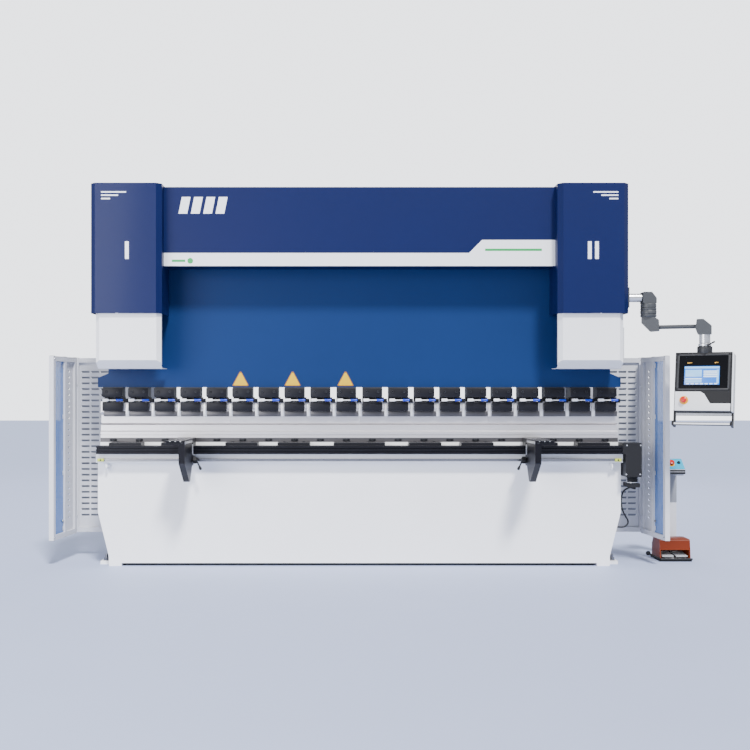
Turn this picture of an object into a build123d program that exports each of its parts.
import os
from math import cos, pi, radians, sin, tan

from build123d import *

# Hydraulic press brake, closed on its die.
# Millimetres. X runs along the bed to the right, Y runs to the back, Z is up.
# The origin is on the floor at the middle of the tool line.

# Driving sizes
bed_length = 3200
machine_height = 2300
plate = 3  # folded sheet of the covers

# Levels of the tool stack, from the floor up
table_top = 755
die_rail_height = 27
die_height = 78
punch_height = 88
clamp_height = 146
wing_height = 255

# Motion
stroke = 170
rod_gap = stroke + 41  # room for the rod's flange when the ram is up

die_rail_top = table_top + die_rail_height
die_top = die_rail_top + die_height
punch_top = die_top + punch_height
ram_bottom = punch_top + clamp_height
wing_top = ram_bottom + wing_height
cylinder_bottom = wing_top + rod_gap

# Side frames
frame_thickness = 50
frame_inset = 225  # from the end of the bed to the middle of the frame plate
frame_centre = bed_length / 2 - frame_inset
frame_outside = frame_centre + frame_thickness / 2
frame_back = 1050
throat_back = 540
throat_bottom = 720
throat_top = 1230
throat_radius = 110
frame_top = machine_height - 40
arm_front = 140
lifting_hole_radius = 45

# Bed
table_thickness = 80
front_plate_y = -100
front_plate_thickness = 20
front_plate_top = 636
taper_start = 330
taper_end = 61
taper_depth = 67
bed_clearance = 18
foot_plate = 20
foot_width = 78
anchor_radius = 11

# Ram
ram_thickness = 80
ram_overhang = 15
ram_shoulder = bed_length / 2 - 375
cover_bottom = 1531
fascia_bottom = machine_height - 480
ram_top = fascia_bottom + 134

# Cylinders
block_size = 280
bore_radius = 100
rod_radius = 60
piston_gap = 0.3
cylinder_top = machine_height - 140

# Covers
cover_front = -330
cover_back = 320
inner_side_back = -60  # the ram passes behind the inner side of each cover
cover_outer = bed_length / 2 - 8
cover_inner = bed_length / 2 - 428
cover_chamfer = 30
column_front = -310
column_back = -95
column_outer = bed_length / 2 - 34
column_inner = bed_length / 2 - 422
column_bottom = ram_bottom + 111
column_slope = (80, 49)  # depth and height of the sloped bottom edge
column_return = 45  # the inner side is open behind this narrow flange
fascia_y = -230
strip_height = 78
strip_start = 656

# Tool clamps
clamp_pitch = 160
clamp_width = 122
clamp_count = round(bed_length / clamp_pitch)

# Front support rail
beam_height = 49
beam_bottom = 690
beam_front = -190
beam_back = -110
ledge_front = -150
rail_bottom = 646
rail_height = 14
bracket_height = 18
bracket_setbacks = (176, 493, 883, 1200)  # from each end of the bed

# Sheet supports
support_x = 1060
support_width = 110
carriage_width = 60
support_top = 785
support_front = -500
support_rear = -60
support_plate = 25

# Guards
guard_bottom = 160
guard_top = 1284
guard_tube = 30
guard_y = 270
hinge_x = bed_length / 2 + 226
door_length = 383
door_angle = 7
slot_size = (52, 12)
slot_pitch = (61.5, 37)

# Pendant
arm_x = bed_length / 2 + 122
arm_y = -262
arm_length = 318
arm_angle = -21.4
pendant_turn = -27
pendant_tilt = 12
pendant_size = (310, 345, 70)

# Foot switch and pedestal
switch_x = bed_length / 2 + 390
switch_front = 64
pedestal_x = bed_length / 2 + 446
pedestal_y = 190

# Back gauge
gauge_x = 900
gauge_rail_length = 760
gauge_level = 700

# Crowning drive and its cable
drive_x = bed_length / 2 + 57
cable_diameter = 10
cable_y = -60


def block(x, y, z, mode=Mode.ADD):
    # A box between two limits on each axis, given in either order.
    middle = tuple((low + high) / 2 for low, high in (x, y, z))
    size = [abs(high - low) for low, high in (x, y, z)]
    with Locations(middle):
        Box(*size, mode=mode)


def rod(start, direction, radius, length, mode=Mode.ADD):
    # A round bar that starts at a point and runs along a direction.
    with Locations(Plane(origin=start, z_dir=direction)):
        Cylinder(radius, length, align=(Align.CENTER, Align.CENTER, Align.MIN), mode=mode)


def panel(plane, points, depth, mode=Mode.ADD):
    # A flat plate with a straight-sided outline.
    with BuildSketch(plane) as outline:
        with BuildLine():
            Polyline(*points, close=True)
        make_face()
    extrude(outline.sketch, amount=depth, mode=mode)


def save(piece, name):
    piece.part.label = name
    export_step(piece.part, f"parts/{name}.step")


os.makedirs("parts", exist_ok=True)
sides = ((-1, "left"), (1, "right"))

# Side frames: C-shaped plates with a throat behind the tools
for side, name in sides:
    with BuildPart() as side_frame:
        with BuildSketch(Plane.YZ.offset(side * frame_centre - frame_thickness / 2)):
            with BuildLine():
                Polyline(
                    (table_thickness / 2, foot_plate),
                    (table_thickness / 2, throat_bottom),
                    (throat_back, throat_bottom),
                    (throat_back, throat_top),
                    (arm_front, throat_top),
                    (arm_front, frame_top),
                    (frame_back - 150, frame_top),
                    (frame_back, frame_top - 150),
                    (frame_back, foot_plate),
                    close=True,
                )
            throat = make_face()
            corners = throat.vertices().filter_by_position(Axis.X, throat_back - 1, throat_back + 1)
            fillet(corners, radius=throat_radius)
            with Locations((arm_front + 260, frame_top - 110)):
                Circle(lifting_hole_radius, mode=Mode.SUBTRACT)
        extrude(amount=frame_thickness)
    save(side_frame, f"{name}_side_frame")

# Lower table: one thick plate that carries the die
bed_outline = [
    (-bed_length / 2, taper_start),
    (-bed_length / 2 + taper_depth, taper_end),
    (bed_length / 2 - taper_depth, taper_end),
    (bed_length / 2, taper_start),
]
with BuildPart() as bed_table:
    panel(
        Plane.XZ.offset(-table_thickness / 2),
        bed_outline + [(bed_length / 2, table_top), (-bed_length / 2, table_top)],
        table_thickness,
    )
save(bed_table, "bed_table")

# Front plate of the bed, with the ribs that tie it to the table and two lifting eyes
foot_inner = bed_length / 2 - taper_depth - foot_width
rib_back = -table_thickness / 2
rib_front = front_plate_y + front_plate_thickness
rib_thickness = 12
rib_end = bed_length / 2 - taper_depth - rib_thickness
with BuildPart() as bed_front_plate:
    panel(
        Plane.XZ.offset(-rib_front),
        [
            (-bed_length / 2, front_plate_top),
            (-bed_length / 2, taper_start),
            (-bed_length / 2 + taper_depth, taper_end),
            (-foot_inner, taper_end),
            (-foot_inner, bed_clearance),
            (foot_inner, bed_clearance),
            (foot_inner, taper_end),
            (bed_length / 2 - taper_depth, taper_end),
            (bed_length / 2, taper_start),
            (bed_length / 2, front_plate_top),
        ],
        front_plate_thickness,
    )
    with Locations((0, (rib_front + rib_back) / 2, (taper_end + front_plate_top) / 2)):
        with GridLocations(rib_end * 2 / 6, 1, 7, 1):
            Box(rib_thickness, rib_back - rib_front, front_plate_top - taper_end)
    fillet(
        bed_front_plate.edges().filter_by(Axis.X).group_by(Axis.Y)[0].group_by(Axis.Z)[-1],
        radius=4,
    )
    for side, _ in sides:
        eye_x = side * (bed_length / 2 - 62)
        rod((eye_x, front_plate_y, 612), (0, -1, 0), 14, 8)
        with Locations(Plane(origin=(eye_x, front_plate_y - 26, 612), z_dir=(1, 0, 0))):
            Torus(18, 5)
save(bed_front_plate, "bed_front_plate")

# Feet: two angles under the bed and two base plates under the frames, with anchor holes
anchor_x = bed_length / 2 - 30
anchor_back_y = frame_back - 90
with BuildPart() as bed_feet:
    for side, _ in sides:
        inner, outer = side * foot_inner, side * (foot_inner + foot_width)
        plate_end = side * bed_length / 2
        block((inner, outer), (front_plate_y, 70), (0, foot_plate))
        block((inner, outer), (front_plate_y, rib_front), (foot_plate, taper_end))
        block((outer, plate_end), (-35, 35), (0, foot_plate))
        block(
            (side * (frame_centre - 80), plate_end),
            (anchor_back_y - 70, anchor_back_y + 70),
            (0, foot_plate),
        )
        for anchor_y in (0, anchor_back_y):
            with Locations((side * anchor_x, anchor_y, 0)):
                Cylinder(anchor_radius, 3 * foot_plate, mode=Mode.SUBTRACT)
        block((side * (frame_centre - 60), side * (frame_centre + 60)), (90, 210), (0, foot_plate))
save(bed_feet, "bed_feet")

# Rear cross beam that ties the side frames together
frame_inside = frame_centre - frame_thickness / 2
with BuildPart() as rear_beam:
    block((-frame_inside, frame_inside), (900, 1000), (520, 640))
    block((-frame_inside, frame_inside), (906, 994), (526, 634), Mode.SUBTRACT)
save(rear_beam, "rear_beam")

# Oil tank between the upper arms
tank_half = cover_inner - 12
tank_front = 330
tank_back = 820
tank_top = frame_top - 30
tank_bottom = tank_top - 520
with BuildPart() as oil_tank:
    block((-tank_half, tank_half), (tank_front, tank_back), (tank_bottom, tank_top))
    fillet(oil_tank.edges().filter_by(Axis.X), radius=25)
    block(
        (-tank_half + 5, tank_half - 5),
        (tank_front + 5, tank_back - 5),
        (tank_bottom + 5, tank_top - 5),
        Mode.SUBTRACT,
    )
    for side, _ in sides:
        block(
            (side * tank_half, side * frame_inside),
            (tank_front + 60, tank_back - 60),
            (tank_bottom + 80, tank_bottom + 100),
        )
    rod((-600, 500, tank_top), (0, 0, 1), 45, 30)
    rod((600, tank_back, tank_bottom + 180), (0, 1, 0), 40, 10)
save(oil_tank, "oil_tank")

# Motor and pump on the back of the tank
motor_z = tank_bottom + 260
motor_y = tank_back + 140
with BuildPart() as pump_motor:
    rod((80, motor_y, motor_z), (1, 0, 0), 105, 330)
    with Locations((245, motor_y, motor_z)):
        with GridLocations(26, 1, 11, 1):
            Cylinder(112, 8, rotation=(0, 90, 0))
    rod((410, motor_y, motor_z), (1, 0, 0), 70, 40)
    rod((450, motor_y, motor_z), (1, 0, 0), 98, 14)
    block((464, 610), (motor_y - 55, motor_y + 55), (motor_z - 55, motor_z + 55))
    block((150, 240), (motor_y - 45, motor_y + 45), (motor_z + 95, motor_z + 150))
    for foot_x in (120, 330):
        block((foot_x, foot_x + 50), (tank_back, motor_y), (motor_z - 130, motor_z - 90))
save(pump_motor, "pump_motor")

# Hydraulic cylinders: square blocks with a bore, a gland and a valve block on top
with BuildPart() as cylinders:
    for side, _ in sides:
        centre = side * frame_centre
        with Locations((centre, 0, (cylinder_bottom + cylinder_top) / 2)):
            Box(block_size, block_size, cylinder_top - cylinder_bottom)
        fillet(
            cylinders.solids().sort_by(Axis.X)[0 if side < 0 else -1].edges().filter_by(Axis.Z),
            radius=12,
        )
        rod((centre, 0, cylinder_bottom + 50), (0, 0, 1), bore_radius, cylinder_top - cylinder_bottom - 100,
            Mode.SUBTRACT)
        rod((centre, 0, cylinder_bottom - 1), (0, 0, 1), rod_radius + piston_gap, 60, Mode.SUBTRACT)
        block((centre - 90, centre + 90), (-110, 70), (cylinder_top, cylinder_top + 80))
        rod((centre - 45, -20, cylinder_top + 80), (0, 0, 1), 22, 40)
        rod((centre + 45, -20, cylinder_top + 80), (0, 0, 1), 22, 40)
save(cylinders, "cylinders")

# Ram guides: one flat way on the front edge of each frame
guide_half = 45
shoe_front = ram_thickness / 2
way_front = 92
with BuildPart() as ram_guides:
    for side, _ in sides:
        centre = side * frame_centre
        block(
            (centre - guide_half, centre + guide_half),
            (way_front, arm_front),
            (throat_top + 10, cylinder_bottom - 5),
        )
save(ram_guides, "ram_guides")

# Fascia between the covers: a folded sheet
with BuildPart() as fascia_panel:
    block((-cover_inner, cover_inner), (fascia_y, -60), (fascia_bottom, machine_height - 6))
    block(
        (-cover_inner - 1, cover_inner + 1),
        (fascia_y + plate, -59),
        (fascia_bottom + plate, machine_height - 6 - plate),
        Mode.SUBTRACT,
    )
    with GridLocations(1500, 1, 2, 1):
        block((-20, 20), (fascia_y + plate, fascia_y + 40), (fascia_bottom + plate, machine_height - 9))
save(fascia_panel, "fascia_panel")

# Pale strip on the fascia, one step higher on the right
with BuildPart() as fascia_strip:
    panel(
        Plane.XZ.offset(-fascia_y),
        [
            (-cover_inner, fascia_bottom),
            (cover_inner, fascia_bottom),
            (cover_inner, fascia_bottom + 2 * strip_height),
            (strip_start + strip_height, fascia_bottom + 2 * strip_height),
            (strip_start, fascia_bottom + strip_height),
            (-cover_inner, fascia_bottom + strip_height),
        ],
        4,
    )
save(fascia_strip, "fascia_strip")

# Blue cylinder covers: folded boxes, open at the back and below
for side, name in sides:
    with BuildPart() as cylinder_cover:
        block(
            (side * cover_inner, side * cover_outer),
            (cover_front, cover_back),
            (cover_bottom, machine_height),
        )
        front_edges = cylinder_cover.edges().filter_by(Axis.Z).group_by(Axis.Y)[0]
        chamfer(front_edges, length=cover_chamfer)
        openings = cylinder_cover.faces().sort_by(Axis.Y)[-1], cylinder_cover.faces().sort_by(Axis.Z)[0]
        offset(amount=-plate, openings=list(openings))
        block(
            (side * (cover_inner - 1), side * (cover_inner + plate + 1)),
            (inner_side_back, cover_back + 1),
            (cover_bottom - 1, machine_height - plate),
            Mode.SUBTRACT,
        )
    save(cylinder_cover, f"{name}_cylinder_cover")

# White column covers below them, with a sloped bottom edge
with BuildPart() as column_covers:
    for side, _ in sides:
        panel(
            Plane.YZ.offset(side * column_inner),
            [
                (column_front, cover_bottom),
                (column_front, column_bottom + column_slope[1]),
                (column_front + column_slope[0], column_bottom),
                (column_back, column_bottom),
                (column_back, cover_bottom),
            ],
            side * (column_outer - column_inner),
        )
    chamfer(column_covers.edges().filter_by(Axis.Z).group_by(Axis.Y)[0], length=25)
    back_faces = column_covers.faces().sort_by(Axis.Y)[-2:]
    top_faces = column_covers.faces().sort_by(Axis.Z)[-2:]
    offset(amount=-plate, openings=[*back_faces, *top_faces])
    for side, _ in sides:
        block(
            (side * (column_inner - 1), side * (column_inner + plate + 1)),
            (column_front + column_return, column_back + 1),
            (column_bottom + plate, cover_bottom + 1),
            Mode.SUBTRACT,
        )
save(column_covers, "column_covers")

# Die rail on the table with its clamping screws
rail_front = -34
with BuildPart() as die_rail:
    block((-bed_length / 2, bed_length / 2), (rail_front, 34), (table_top, die_rail_top))
    block((-bed_length / 2, bed_length / 2), (-8, 8), (die_rail_top - 12, die_rail_top), Mode.SUBTRACT)
save(die_rail, "die_rail")

set_screw_z = table_top + die_rail_height / 2
with BuildPart() as die_set_screws:
    with GridLocations(clamp_pitch, 1, clamp_count, 1):
        rod((0, rail_front, set_screw_z), (0, -1, 0), 8, 8)
        rod((0, rail_front - 3, set_screw_z), (0, -1, 0), 4, 6, Mode.SUBTRACT)
save(die_set_screws, "die_set_screws")

# Lower die: a block with a V groove and side grooves, on a tongue in the rail
die_half = 30
groove_half = 8
groove_angle = 88
groove_depth = groove_half / tan(radians(groove_angle / 2))
with BuildPart() as lower_die:
    panel(
        Plane.YZ.offset(-bed_length / 2),
        [
            (-die_half, die_rail_top),
            (-die_half, die_rail_top + 36),
            (-die_half + 8, die_rail_top + 44),
            (-die_half + 8, die_top),
            (-groove_half, die_top),
            (0, die_top - groove_depth),
            (groove_half, die_top),
            (die_half - 8, die_top),
            (die_half - 8, die_rail_top + 44),
            (die_half, die_rail_top + 36),
            (die_half, die_rail_top),
            (7.5, die_rail_top),
            (7.5, die_rail_top - 11),
            (-7.5, die_rail_top - 11),
            (-7.5, die_rail_top),
        ],
        bed_length,
    )
    for groove_z in (die_rail_top + 18, die_top - 14):
        block((-bed_length / 2, bed_length / 2), (-die_half, -die_half + 11), (groove_z - 3, groove_z + 3),
              Mode.SUBTRACT)
save(lower_die, "lower_die")

# Ledge, beam, guide rail and beam brackets in front of the bed
beam_top = beam_bottom + beam_height
half_bed = bed_length / 2
with BuildPart() as front_ledge:
    block((-half_bed, half_bed), (ledge_front, rib_back), (front_plate_top, beam_bottom))
    fillet(front_ledge.edges().filter_by(Axis.X).group_by(Axis.Y)[0], radius=3)
save(front_ledge, "front_ledge")

with BuildPart() as front_beam:
    block((-half_bed + 10, half_bed - 10), (beam_front, beam_back), (beam_bottom, beam_top))
    for groove_z in (beam_bottom + 14, beam_bottom + 34):
        block(
            (-half_bed, half_bed),
            (beam_front, beam_front + 6),
            (groove_z - 4, groove_z + 4),
            Mode.SUBTRACT,
        )
        block((-half_bed, half_bed), (beam_front + 6, beam_front + 12), (groove_z - 7, groove_z + 7),
              Mode.SUBTRACT)
save(front_beam, "front_beam")

with BuildPart() as front_beam_brackets:
    block((-156, 156), (ledge_front, rib_back), (beam_top, beam_top + bracket_height))
    block((-156, 156), (beam_back + 10, rib_back), (beam_bottom, beam_top))
    for side, _ in sides:
        for setback in bracket_setbacks:
            x = side * (half_bed - setback)
            block((x - 98, x + 98), (ledge_front, rib_back), (beam_top, beam_top + bracket_height))
            block((x - 98, x + 98), (beam_back + 10, rib_back), (beam_bottom, beam_top))
save(front_beam_brackets, "front_beam_brackets")

rail_front_y = ledge_front - 12
stop_inner = half_bed - 51
with BuildPart() as support_rail:
    block(
        (-stop_inner, stop_inner),
        (rail_front_y, ledge_front),
        (rail_bottom, rail_bottom + rail_height),
    )
    for edge_z in (rail_bottom, rail_bottom + rail_height):
        block(
            (-half_bed, half_bed),
            (ledge_front - 8, ledge_front - 3),
            (edge_z - 2.5, edge_z + 2.5),
            Mode.SUBTRACT,
        )
    with Locations(Plane(origin=(0, rail_front_y, rail_bottom + rail_height / 2), z_dir=(0, -1, 0))):
        with GridLocations(60, 1, round((2 * stop_inner - 60) / 60), 1):
            Cylinder(3.6, 6, mode=Mode.SUBTRACT)
    for side, _ in sides:
        block(
            (side * stop_inner, side * (stop_inner + 36)),
            (rail_front_y - 8, ledge_front),
            (rail_bottom - 3, rail_bottom + rail_height + 3),
        )
save(support_rail, "support_rail")

# Crowning drive at the right end of the beam, with a gland for its cable
drive_left = drive_x - 49
drive_right = drive_x + 48
with BuildPart() as drive_box:
    block((half_bed - 10, drive_right), (beam_front, -70), (beam_bottom, beam_top + 18))
    block((drive_left, drive_right), (beam_front, -60), (552, beam_bottom))
    fillet(drive_box.edges().filter_by(Axis.Z), radius=6)
    rod((drive_x + 8, -120, 510), (0, 0, 1), 26, 42)
    for ring in range(3):
        rod((drive_x + 8, -120, 514 + 13 * ring), (0, 0, 1), 32, 6)
    block((drive_x - 28, drive_x + 44), (-160, -40), (486, 510))
    block((drive_x + 33, drive_x + 44), (cable_y - 10, cable_y + 10), (466, 486))
save(drive_box, "drive_box")

# Cable from the drive into the end rib of the bed: straight runs joined by tangent arcs
cable_z = 477
cable_points = [
    (drive_x + 33, cable_y, cable_z),
    (drive_x + 3, cable_y, cable_z),
    (drive_x - 33, cable_y - 1, cable_z - 21),
    (drive_x - 45, cable_y - 2, cable_z - 66),
    (drive_x - 43, cable_y - 2, cable_z - 112),
    (drive_x - 34, cable_y - 1, cable_z - 146),
    (drive_x - 20, cable_y, cable_z - 174),
    (drive_x - 2, cable_y, cable_z - 200),
    (drive_x - 1, cable_y + 1, cable_z - 224),
    (drive_x - 21, cable_y + 2, cable_z - 243),
    (drive_x - 51, cable_y + 2, cable_z - 246),
    (drive_x - 86, cable_y + 1, cable_z - 238),
    (rib_end + rib_thickness / 2, cable_y + 1, cable_z - 238),
]


def tangent_radii(points):
    # The largest arc at each corner that leaves a little of both its runs straight.
    corners = [Vector(*point) for point in points]
    radii = []
    for before, corner, after in zip(corners, corners[1:], corners[2:]):
        turn = radians((corner - before).get_angle(after - corner))
        shorter = min((corner - before).length, (after - corner).length)
        radii.append(0.45 * shorter / tan(turn / 2))
    return radii


cable_radii = tangent_radii(cable_points)
print("cable radii", [round(radius) for radius in cable_radii])
with BuildPart() as drive_cable:
    with BuildLine() as cable_path:
        FilletPolyline(*cable_points, radius=cable_radii)
    with BuildSketch(Plane(origin=cable_points[0], z_dir=cable_path.line % 0)):
        Circle(cable_diameter / 2)
    sweep()
cable_length = cable_path.wires()[0].length
cable_section = pi * cable_diameter**2 / 4
print("cable length", round(cable_length))
print("volume over section times length", round(drive_cable.part.volume / cable_section / cable_length, 4))
save(drive_cable, "drive_cable")

# Side guards: a slotted panel on the side frame and a hinged door with a clear window
hinge_y = guard_y - guard_tube / 2 - 20
guard_height = guard_top - guard_bottom
hinge_levels = (guard_bottom + 140, guard_top - 140)
for side, name in sides:
    with BuildPart() as guard_panel:
        tube = guard_tube / 2
        post = hinge_x
        for level in (guard_bottom + tube, guard_top - tube):
            block((side * frame_outside, side * (post + tube)), (guard_y - tube, guard_y + tube),
                  (level - tube, level + tube))
        for post_x in (post, frame_outside + 95):
            block((side * (post_x - tube), side * (post_x + tube)), (guard_y - tube, guard_y + tube),
                  (guard_bottom, guard_top))
        block(
            (side * (frame_outside + 100), side * post),
            (guard_y - 1, guard_y + 1),
            (guard_bottom, guard_top),
        )
        with Locations((side * (post - 148), guard_y, (guard_bottom + guard_top) / 2 + 10)):
            with GridLocations(slot_pitch[0], 1, 4, 1):
                for row in range(26):
                    with Locations((0, 0, (row - 12.5) * slot_pitch[1])):
                        Box(slot_size[0], 8, slot_size[1], mode=Mode.SUBTRACT)
        for level in hinge_levels:
            block(
                (side * (post - 9), side * (post + 9)),
                (hinge_y - 9, guard_y - tube),
                (level - 38, level - 30),
            )
            rod((side * post, hinge_y, level - 30), (0, 0, 1), 5, 56)
    save(guard_panel, f"{name}_guard_panel")

    # Local x runs along the door from its hinge, local z is up from the guard's bottom edge.
    swing = radians(door_angle)
    door_plane = Plane(
        origin=(side * hinge_x, hinge_y, guard_bottom),
        x_dir=(side * sin(swing), -cos(swing), 0),
        z_dir=(0, 0, 1),
    )
    with BuildPart() as guard_door:
        with Locations(door_plane):
            for start in (14, 175, door_length - guard_tube):
                block((start, start + guard_tube), (-15, 15), (0, guard_height))
            for level in (0, guard_height - guard_tube):
                block((14, door_length), (-15, 15), (level, level + guard_tube))
            block((44, 175), (-1, 1), (guard_tube, guard_height - guard_tube))
            for row in range(26):
                slot_z = guard_height / 2 + 10 + (row - 12.5) * slot_pitch[1]
                block((96, 124), (-4, 4), (slot_z - 5, slot_z + 5), Mode.SUBTRACT)
            for level in hinge_levels:
                barrel_z = level - guard_bottom
                rod((0, 0, barrel_z - 29), (0, 0, 1), 9, 50)
                block((0, 16), (-4, 4), (barrel_z - 29, barrel_z + 21))
                rod((0, 0, barrel_z - 30), (0, 0, 1), 5.05, 60, Mode.SUBTRACT)
    save(guard_door, f"{name}_guard_door")

    with BuildPart() as guard_window:
        with Locations(door_plane):
            block((205, door_length - guard_tube), (-2.5, 2.5), (guard_tube, guard_height - guard_tube))
    save(guard_window, f"{name}_guard_window")

# Sheet supports: a slotted top plate on a web, carried by a block on the guide rail
carriage_front = -215
arm_lever_y = -200
arm_lever_z = 655
for side, name in sides:
    inner = side * (support_x - support_width / 2)
    with BuildPart() as support_arm:
        block(
            (inner, inner + side * support_width),
            (support_front, support_rear),
            (support_top - support_plate, support_top),
        )
        for place in (25, 55, 85):
            x = inner + side * place
            block(
                (x - 4, x + 4),
                (support_front, support_rear),
                (support_top - 6, support_top),
                Mode.SUBTRACT,
            )
            block(
                (x - 8, x + 8),
                (support_front, support_rear),
                (support_top - 12, support_top - 6),
                Mode.SUBTRACT,
            )
        panel(
            Plane.YZ.offset(inner),
            [
                (support_front, support_top - support_plate),
                (support_front, 654),
                (-325, 535),
                (-290, 535),
                (carriage_front, 626),
                (carriage_front, support_top - support_plate),
            ],
            side * 35,
        )
        block(
            (inner, inner + side * carriage_width),
            (carriage_front, rail_front_y - 3),
            (622, beam_bottom - 5),
        )
        block((inner, inner + side * carriage_width), (rail_front_y - 3, ledge_front - 2),
              (rail_bottom + rail_height + 1, rail_bottom + rail_height + 8))
        block(
            (inner, inner + side * carriage_width),
            (rail_front_y - 3, ledge_front - 2),
            (rail_bottom - 12, rail_bottom - 1),
        )
    save(support_arm, f"{name}_support_arm")

    with BuildPart() as arm_lever:
        rod((inner, arm_lever_y, arm_lever_z), (-side, 0, 0), 10, 14)
        rod((inner - side * 9, arm_lever_y, arm_lever_z), (-side * 0.45, -0.25, -0.86), 4, 60)
        with Locations((inner - side * 36, arm_lever_y - 15, arm_lever_z - 52)):
            Sphere(7)
    save(arm_lever, f"{name}_arm_lever")

# Ram plate: inverted T, with a shoe behind each wing
with BuildPart() as ram_plate:
    ram_end = half_bed + ram_overhang
    wing_end = half_bed - 50
    panel(
        Plane.XZ.offset(-ram_thickness / 2),
        [
            (-ram_end, ram_bottom),
            (ram_end, ram_bottom),
            (ram_end, ram_bottom + 58),
            (wing_end, ram_bottom + 86),
            (wing_end, wing_top),
            (ram_shoulder, wing_top),
            (ram_shoulder, ram_top),
            (-ram_shoulder, ram_top),
            (-ram_shoulder, wing_top),
            (-wing_end, wing_top),
            (-wing_end, ram_bottom + 86),
            (-ram_end, ram_bottom + 58),
        ],
        ram_thickness,
    )
    for side, _ in sides:
        centre = side * frame_centre
        block((centre - 60, centre + 60), (shoe_front, way_front - 0.5), (wing_top - 140, wing_top))
save(ram_plate, "ram_plate")

# Piston rods with their pistons inside the cylinders
piston_level = cylinder_bottom + 180
with BuildPart() as piston_rods:
    for side, _ in sides:
        centre = side * frame_centre
        rod((centre, 0, wing_top), (0, 0, 1), 75, 25)
        rod((centre, 0, wing_top + 25), (0, 0, 1), rod_radius, piston_level - wing_top - 25)
        rod((centre, 0, piston_level), (0, 0, 1), bore_radius - piston_gap, 80)
save(piston_rods, "piston_rods")

# Tool clamps: a steel holder with a black wedge block, one for each pitch
clamp_front = -85
with BuildPart() as clamp_holders:
    with GridLocations(clamp_pitch, 1, clamp_count, 1):
        block((-clamp_width / 2, clamp_width / 2), (-10, 30), (punch_top + 12, ram_bottom))
        block((-clamp_width / 2, clamp_width / 2), (-50, -10), (ram_bottom - 62, ram_bottom))
        block((-clamp_width / 2 + 10, clamp_width / 2 + 12), (-30, -10), (punch_top + 60, ram_bottom - 62))
save(clamp_holders, "clamp_holders")

with BuildPart() as clamp_blocks:
    with GridLocations(clamp_pitch, 1, clamp_count, 1):
        block((-clamp_width / 2, clamp_width / 2), (clamp_front + 6, -50), (ram_bottom - 60, ram_bottom - 5))
        for bolt_x in (-36, 36):
            rod((bolt_x, clamp_front + 6, ram_bottom - 28), (0, -1, 0), 8, 6)
            rod((bolt_x, clamp_front + 3, ram_bottom - 28), (0, -1, 0), 4, 8, Mode.SUBTRACT)
save(clamp_blocks, "clamp_blocks")

with BuildPart() as clamp_plates:
    with GridLocations(clamp_pitch, 1, clamp_count, 1):
        block((-clamp_width / 2, clamp_width / 2), (-68, -30), (punch_top, punch_top + 56))
        for stud_x in (-32, 12):
            rod((stud_x, -54, punch_top + 50), (0.35, -0.25, 0.9), 7, 30)
save(clamp_plates, "clamp_plates")

# Wedge levers of the clamps, pushed sideways to lock
lever_z = punch_top + 64
with BuildPart() as clamp_levers:
    with GridLocations(clamp_pitch, 1, clamp_count, 1):
        block((-clamp_width / 2 - 2, -clamp_width / 2 + 26), (-92, -72), (lever_z - 3, lever_z + 9))
        rod((-clamp_width / 2 + 26, -84, lever_z + 2), (1, 0, 0), 3, 92)
        rod((clamp_width / 2 - 20, -84, lever_z + 2), (1, 0, 0), 5.5, 32)
save(clamp_levers, "clamp_levers")

# Punch in segments, with a tang between holder and clamp plate
punch_tip_half = 0.8
punch_angle = 86
flank = 13
flank_height = (flank - punch_tip_half) / tan(radians(punch_angle / 2))
segment_count = 4
segment_length = bed_length / segment_count
with BuildPart() as punches:
    for index in range(segment_count):
        panel(
            Plane.YZ.offset(-bed_length / 2 + index * segment_length + 0.5),
            [
                (-punch_tip_half, die_top),
                (punch_tip_half, die_top),
                (flank, die_top + flank_height),
                (flank, punch_top - 20),
                (30, punch_top),
                (30, punch_top + 12),
                (-10, punch_top + 12),
                (-10, punch_top + 58),
                (-30, punch_top + 58),
                (-30, punch_top - 8),
                (-flank, punch_top - 26),
                (-flank, die_top + flank_height),
            ],
            segment_length - 1,
        )
save(punches, "punches")

# Pendant bracket: a tube on the right cover with an angular elbow
bracket_z = 1626
joint_bottom = 1552
elbow_half = 36
with BuildPart() as pendant_bracket:
    panel(
        Plane.XZ.offset(-arm_y - elbow_half),
        [
            (arm_x - 40, bracket_z - 36),
            (arm_x + 40, bracket_z - 36),
            (arm_x + 40, bracket_z - 2),
            (arm_x + 12, bracket_z + 34),
            (arm_x - 40, bracket_z + 34),
        ],
        2 * elbow_half,
    )
    fillet(pendant_bracket.edges().filter_by(Axis.Y), radius=6)
    block(
        (cover_outer, cover_outer + 8),
        (arm_y - elbow_half, arm_y + elbow_half),
        (bracket_z - 60, bracket_z + 60),
    )
    rod((cover_outer + 8, arm_y, bracket_z), (1, 0, 0), 24, arm_x - cover_outer - 43)
    rod((arm_x, arm_y, joint_bottom), (0, 0, 1), 44, bracket_z - 36 - joint_bottom)
save(pendant_bracket, "pendant_bracket")

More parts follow.
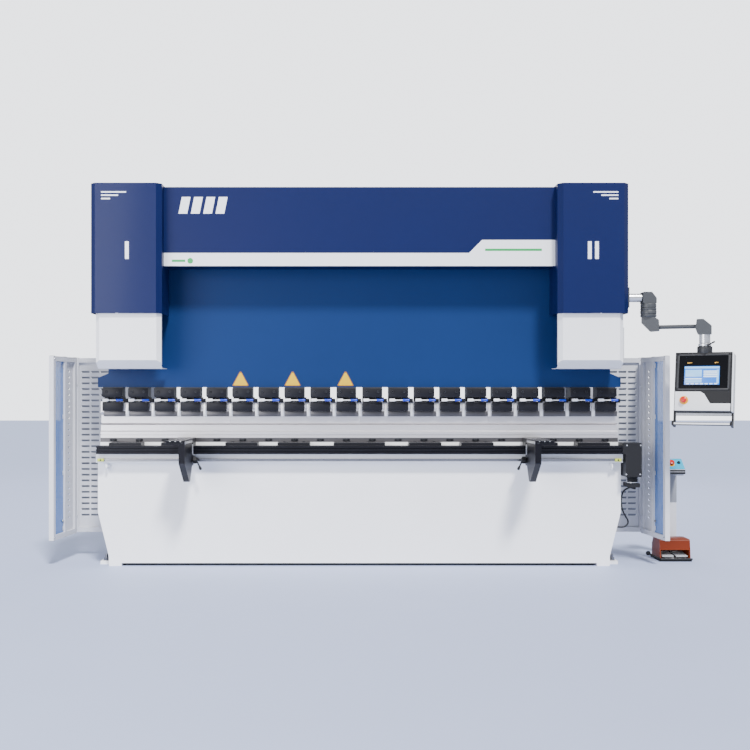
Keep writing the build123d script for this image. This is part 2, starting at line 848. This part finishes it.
# Swing arm: rotary joint, lower elbow, tube, second elbow and down tube
swing = radians(arm_angle)
arm_direction = (cos(swing), sin(swing), 0)
arm_plane = Plane(origin=(arm_x, arm_y, 0), x_dir=arm_direction, z_dir=(sin(swing), -cos(swing), 0))
arm_end = (arm_x + arm_length * cos(swing), arm_y + arm_length * sin(swing))
joint_gap = 0.5
joint_low = 1511
tube_z = 1450
elbow_bottom = 1402
down_tube_bottom = 1350
with BuildPart() as swing_arm:
    panel(
        arm_plane.offset(-elbow_half + 3),
        [
            (-38, joint_low),
            (38, joint_low),
            (58, joint_low - 14),
            (62, tube_z - 22),
            (10, tube_z - 26),
            (-38, joint_low - 36),
        ],
        2 * elbow_half - 6,
    )
    panel(
        arm_plane.offset(-elbow_half + 3),
        [
            (arm_length - 44, tube_z + 42),
            (arm_length - 5, tube_z + 42),
            (arm_length + 38, tube_z + 4),
            (arm_length + 38, elbow_bottom),
            (arm_length - 38, elbow_bottom),
            (arm_length - 50, tube_z - 16),
        ],
        2 * elbow_half - 6,
    )
    fillet(swing_arm.edges().filter_by(Axis((0, 0, 0), tuple(arm_plane.z_dir))), radius=6)
    rod((arm_x, arm_y, joint_low), (0, 0, 1), 44, joint_bottom - joint_gap - joint_low)
    with Locations(arm_plane):
        rod((50, tube_z, 0), (1, 0, 0), 12, arm_length - 90)
    rod((*arm_end, down_tube_bottom), (0, 0, 1), 30, elbow_bottom - down_tube_bottom)
save(swing_arm, "swing_arm")

# Pendant: neck, tilted housing with side rails, screen and emergency stop
turn, tilt = radians(pendant_turn), radians(pendant_tilt)
facing = (sin(turn) * cos(tilt), -cos(turn) * cos(tilt), sin(tilt))
pendant_top = 1287
collar_bottom = 1331
face_plane = Plane(origin=(*arm_end, pendant_top), x_dir=(cos(turn), sin(turn), 0), z_dir=facing)
width, height, depth = pendant_size
with BuildPart() as pendant_housing:
    rod((*arm_end, collar_bottom), (0, 0, 1), 34, down_tube_bottom - joint_gap - collar_bottom)
    rod((*arm_end, pendant_top - 10), (0, 0, 1), 41, collar_bottom - pendant_top + 10)
    with Locations(face_plane):
        block((-width / 2, width / 2), (-height, 0), (-depth / 2, depth / 2))
        block(
            (-width / 2 + 14, width / 2 - 14),
            (-height * 0.63, -12),
            (depth / 2 - 6, depth / 2),
            Mode.SUBTRACT,
        )
        for side, _ in sides:
            block(
                (side * (width / 2), side * (width / 2 + 12)),
                (-height - 85, 0),
                (-depth / 2 - 4, -depth / 2 + 14),
            )
            block(
                (side * (width / 2), side * (width / 2 + 12)),
                (-height - 85, -height - 60),
                (-depth / 2 + 14, depth / 2 + 10),
            )
        block((-width / 2, width / 2), (-height - 85, -height - 69), (depth / 2 - 6, depth / 2 + 10))
        block((-width / 2, width / 2), (-height - 16, -height), (-depth / 2, -depth / 2 + 14))
        rod((-width / 2 + 52, -height + 62, depth / 2), (0, 0, 1), 24, 4)
        rod((-width / 2 + 52, -height + 62, depth / 2 - 22), (0, 0, 1), 9.3, 30, Mode.SUBTRACT)
save(pendant_housing, "pendant_housing")

with BuildPart() as pendant_screen:
    with Locations(face_plane):
        block((-width / 2 + 14, width / 2 - 14), (-height * 0.63, -12), (depth / 2 - 6, depth / 2 - 1))
save(pendant_screen, "pendant_screen")

with BuildPart() as pendant_stop_button:
    with Locations(face_plane):
        rod((-width / 2 + 52, -height + 62, depth / 2 - 14), (0, 0, 1), 9, 28)
        rod((-width / 2 + 52, -height + 62, depth / 2 + 12), (0, 0, 1), 20, 14)
save(pendant_stop_button, "pendant_stop_button")

# Foot switch: base plate with a carry rod, a hood over two pedals
switch_half = 100
hood_top = 135
hood_back = switch_front + 190
with BuildPart() as foot_switch_base:
    block((switch_x - switch_half, switch_x + switch_half), (switch_front, hood_back + 20), (0, 12))
    block((switch_x - 88, switch_x + 88), (hood_back - 40, hood_back - 4), (12, 60))
    rod((switch_x - switch_half, switch_front - 10, 16), (1, 0, 0), 6, 2 * switch_half)
    rod((switch_x - switch_half, switch_front - 10, 16), (-0.6, 0.75, 0.28), 6, 95)
    with Locations((switch_x - switch_half - 57, switch_front + 61, 43)):
        Sphere(15)
    for x in (switch_x - 80, switch_x + 80):
        block((x - 8, x + 8), (switch_front - 10, switch_front + 6), (10, 22))
save(foot_switch_base, "foot_switch_base")

with BuildPart() as foot_switch_hood:
    panel(
        Plane.YZ.offset(switch_x - switch_half + 4),
        [
            (switch_front + 10, 12),
            (switch_front + 26, hood_top),
            (hood_back - 30, hood_top),
            (hood_back, hood_top - 45),
            (hood_back, 12),
        ],
        2 * switch_half - 8,
    )
    fillet(foot_switch_hood.edges().filter_by(Axis.X).group_by(Axis.Z)[-1], radius=10)
    block((switch_x - 90, switch_x + 90), (switch_front, hood_back - 3), (12, 70), Mode.SUBTRACT)
    block((switch_x - 90, switch_x + 90), (switch_front + 40, hood_back - 3), (12, 100), Mode.SUBTRACT)
save(foot_switch_hood, "foot_switch_hood")

pedal_axis_y = hood_back - 55
pedal_z = 40
for place, name in ((-44, "left"), (44, "right")):
    pedal_x = switch_x + place
    with BuildPart() as pedal:
        panel(
            Plane.YZ.offset(pedal_x - 36),
            [
                (switch_front + 18, pedal_z - 14),
                (switch_front + 18, pedal_z - 8),
                (pedal_axis_y - 4, pedal_z + 7),
                (pedal_axis_y + 6, pedal_z + 7),
                (pedal_axis_y + 6, pedal_z - 3),
            ],
            72,
        )
        rod((pedal_x - 38, pedal_axis_y, pedal_z), (1, 0, 0), 6, 76)
    save(pedal, f"{name}_pedal")

# Control pedestal: base plate, column and a small box with a sloped face
box_x = pedestal_x - 19
box_half = 50
box_bottom = 543
box_front = pedestal_y - 40
box_rise = 60
box_run = 80
plate_slope = (0, -box_rise, box_run)
stop_plane = Plane(origin=(box_x - 30, pedestal_y, box_bottom + 58), z_dir=plate_slope)
with BuildPart() as control_pedestal:
    block((pedestal_x - 90, pedestal_x + 90), (hood_back + 22, hood_back + 170), (0, 10))
    block((pedestal_x - 26, pedestal_x + 26), (hood_back + 60, hood_back + 110), (10, box_bottom))
    block(
        (pedestal_x - 26, pedestal_x + 26),
        (box_front + 20, hood_back + 110),
        (box_bottom - 12, box_bottom),
    )
    panel(
        Plane.YZ.offset(box_x - box_half),
        [
            (box_front, box_bottom),
            (box_front, box_bottom + 28),
            (box_front + box_run, box_bottom + 28 + box_rise),
            (box_front + box_run + 20, box_bottom + 28 + box_rise),
            (box_front + box_run + 20, box_bottom),
        ],
        2 * box_half,
    )
    fillet(control_pedestal.edges().filter_by(Axis.X).group_by(Axis.Z)[-1], radius=6)
    with Locations(stop_plane):
        Cylinder(9.3, 60, mode=Mode.SUBTRACT)
save(control_pedestal, "control_pedestal")

with BuildPart() as pedestal_stop_button:
    with Locations(stop_plane):
        rod((0, 0, -16), (0, 0, 1), 9, 34)
        rod((0, 0, 14), (0, 0, 1), 20, 14)
save(pedestal_stop_button, "pedestal_stop_button")

# Electrical cabinet on the right frame, with a door on its outer side
cabinet_inner = frame_outside + 12
cabinet_outer = cabinet_inner + 365
cabinet_y = (560, 960)
cabinet_z = (500, 1500)
door_thickness = 20
inlet_radius = 16
with BuildPart() as electrical_cabinet:
    block((cabinet_inner, cabinet_outer), cabinet_y, cabinet_z)
    offset(amount=-2, openings=[electrical_cabinet.faces().sort_by(Axis.X)[-1]])
    for level in (cabinet_z[0] + 120, cabinet_z[1] - 160):
        block((frame_outside, cabinet_inner), (cabinet_y[0] + 40, cabinet_y[1] - 40), (level, level + 40))
    block((cabinet_inner + 30, cabinet_inner + 33), (cabinet_y[0] + 30, cabinet_y[1] - 30),
          (cabinet_z[0] + 50, cabinet_z[1] - 50))
    for level in (cabinet_z[0] + 60, cabinet_z[1] - 90):
        block(
            (cabinet_inner + 2, cabinet_inner + 30),
            (cabinet_y[0] + 60, cabinet_y[1] - 60),
            (level, level + 30),
        )
    for row in range(3):
        level = cabinet_z[0] + 150 + 270 * row
        block(
            (cabinet_inner + 33, cabinet_inner + 120),
            (cabinet_y[0] + 70, cabinet_y[1] - 70),
            (level, level + 130),
        )
    with Locations((cabinet_inner + 240, cabinet_y[0] + 60, cabinet_z[0] + 1)):
        Cylinder(inlet_radius, 6, mode=Mode.SUBTRACT)
save(electrical_cabinet, "electrical_cabinet")

cabinet_hinge_y = cabinet_y[1] + 8
with BuildPart() as cabinet_door:
    block((cabinet_outer + 1, cabinet_outer + 1 + door_thickness), cabinet_y, cabinet_z)
    block((cabinet_outer, cabinet_outer + 3), (cabinet_y[0] + 12, cabinet_y[1] - 12),
          (cabinet_z[0] + 12, cabinet_z[1] - 12), Mode.SUBTRACT)
    fillet(cabinet_door.faces().sort_by(Axis.X)[-1].edges(), radius=6)
    for level in (cabinet_z[0] + 110, cabinet_z[1] - 190):
        rod((cabinet_outer + 12, cabinet_hinge_y + 2, level), (0, 0, 1), 7, 80)
        block(
            (cabinet_outer + 8, cabinet_outer + 16),
            (cabinet_y[1] - 5, cabinet_hinge_y + 2),
            (level, level + 80),
        )
    block((cabinet_outer + 1 + door_thickness, cabinet_outer + 33), (cabinet_y[0] + 20, cabinet_y[0] + 45),
          (960, 1080))
save(cabinet_door, "cabinet_door")

# Back gauge: two rail units behind the table, a ball screw between them, carriage, beam and fingers
gauge_start = table_thickness / 2
gauge_end = gauge_start + gauge_rail_length
screw_z = gauge_level - 20
screw_radius = 8
with BuildPart() as gauge_rails:
    for side, _ in sides:
        centre = side * gauge_x
        block((centre - 60, centre + 60), (gauge_start, gauge_start + 16), (gauge_level - 160, gauge_level))
        block((centre - 60, centre + 60), (gauge_start, gauge_end), (gauge_level - 60, gauge_level - 44))
        for edge in (-44, 34):
            block(
                (centre + edge, centre + edge + 10),
                (gauge_start + 16, gauge_end),
                (gauge_level - 44, gauge_level - 30),
            )
    block((-gauge_x - 60, gauge_x + 60), (gauge_end - 20, gauge_end), (gauge_level - 60, gauge_level))
    block((-40, 40), (gauge_start, gauge_start + 36), (gauge_level - 60, gauge_level))
    rod((0, gauge_start + 10, screw_z), (0, 1, 0), screw_radius + 0.05, gauge_rail_length, Mode.SUBTRACT)
save(gauge_rails, "gauge_rails")

with BuildPart() as gauge_screw:
    rod((0, gauge_start + 12, screw_z), (0, 1, 0), screw_radius, gauge_rail_length - 6)
    rod((0, gauge_end + 2, screw_z), (0, 1, 0), 26, 22)
save(gauge_screw, "gauge_screw")

carriage_y = gauge_start + 220
gauge_half = gauge_x + 150
with BuildPart() as gauge_carriage:
    for side, _ in sides:
        centre = side * gauge_x
        block(
            (centre - 50, centre + 50),
            (carriage_y, carriage_y + 110),
            (gauge_level - 29, gauge_level + 14),
        )
        block(
            (centre - 50, centre + 50),
            (carriage_y + 90, carriage_y + 110),
            (gauge_level + 14, gauge_level + 54),
        )
        for x in (centre - 30, centre + 30):
            rod((x, carriage_y + 46, gauge_level + 14), (0, 0, 1), 10, 250)
    block(
        (-gauge_half, gauge_half),
        (carriage_y + 90, carriage_y + 110),
        (gauge_level + 54, gauge_level + 84),
    )
    block((-28, 28), (carriage_y + 80, carriage_y + 120), (screw_z - 24, gauge_level + 54))
    rod((0, carriage_y + 79, screw_z), (0, 1, 0), screw_radius + 0.4, 42, Mode.SUBTRACT)
save(gauge_carriage, "gauge_carriage")

beam_level = gauge_level + 70
with BuildPart() as gauge_beam:
    block((-gauge_half, gauge_half), (carriage_y, carriage_y + 30), (beam_level, beam_level + 70))
    for side, _ in sides:
        centre = side * gauge_x
        block((centre - 46, centre + 46), (carriage_y + 30, carriage_y + 64), (beam_level, beam_level + 50))
        for x in (centre - 30, centre + 30):
            rod((x, carriage_y + 46, beam_level - 1), (0, 0, 1), 10.05, 60, Mode.SUBTRACT)
save(gauge_beam, "gauge_beam")

finger_tip = gauge_start + 12
finger_level = beam_level + 72
for side, name in sides:
    finger_x = side * 500
    with BuildPart() as finger:
        block(
            (finger_x - 30, finger_x + 30),
            (carriage_y - 20, carriage_y + 34),
            (finger_level - 2, finger_level + 18),
        )
        block(
            (finger_x - 30, finger_x + 30),
            (carriage_y - 20, carriage_y - 1),
            (beam_level + 10, finger_level - 2),
        )
        block(
            (finger_x - 20, finger_x + 20),
            (finger_tip, carriage_y - 20),
            (finger_level - 2, finger_level + 18),
        )
        block(
            (finger_x - 20, finger_x + 20),
            (finger_tip, finger_tip + 12),
            (finger_level + 18, finger_level + 34),
        )
    save(finger, f"{name}_gauge_finger")
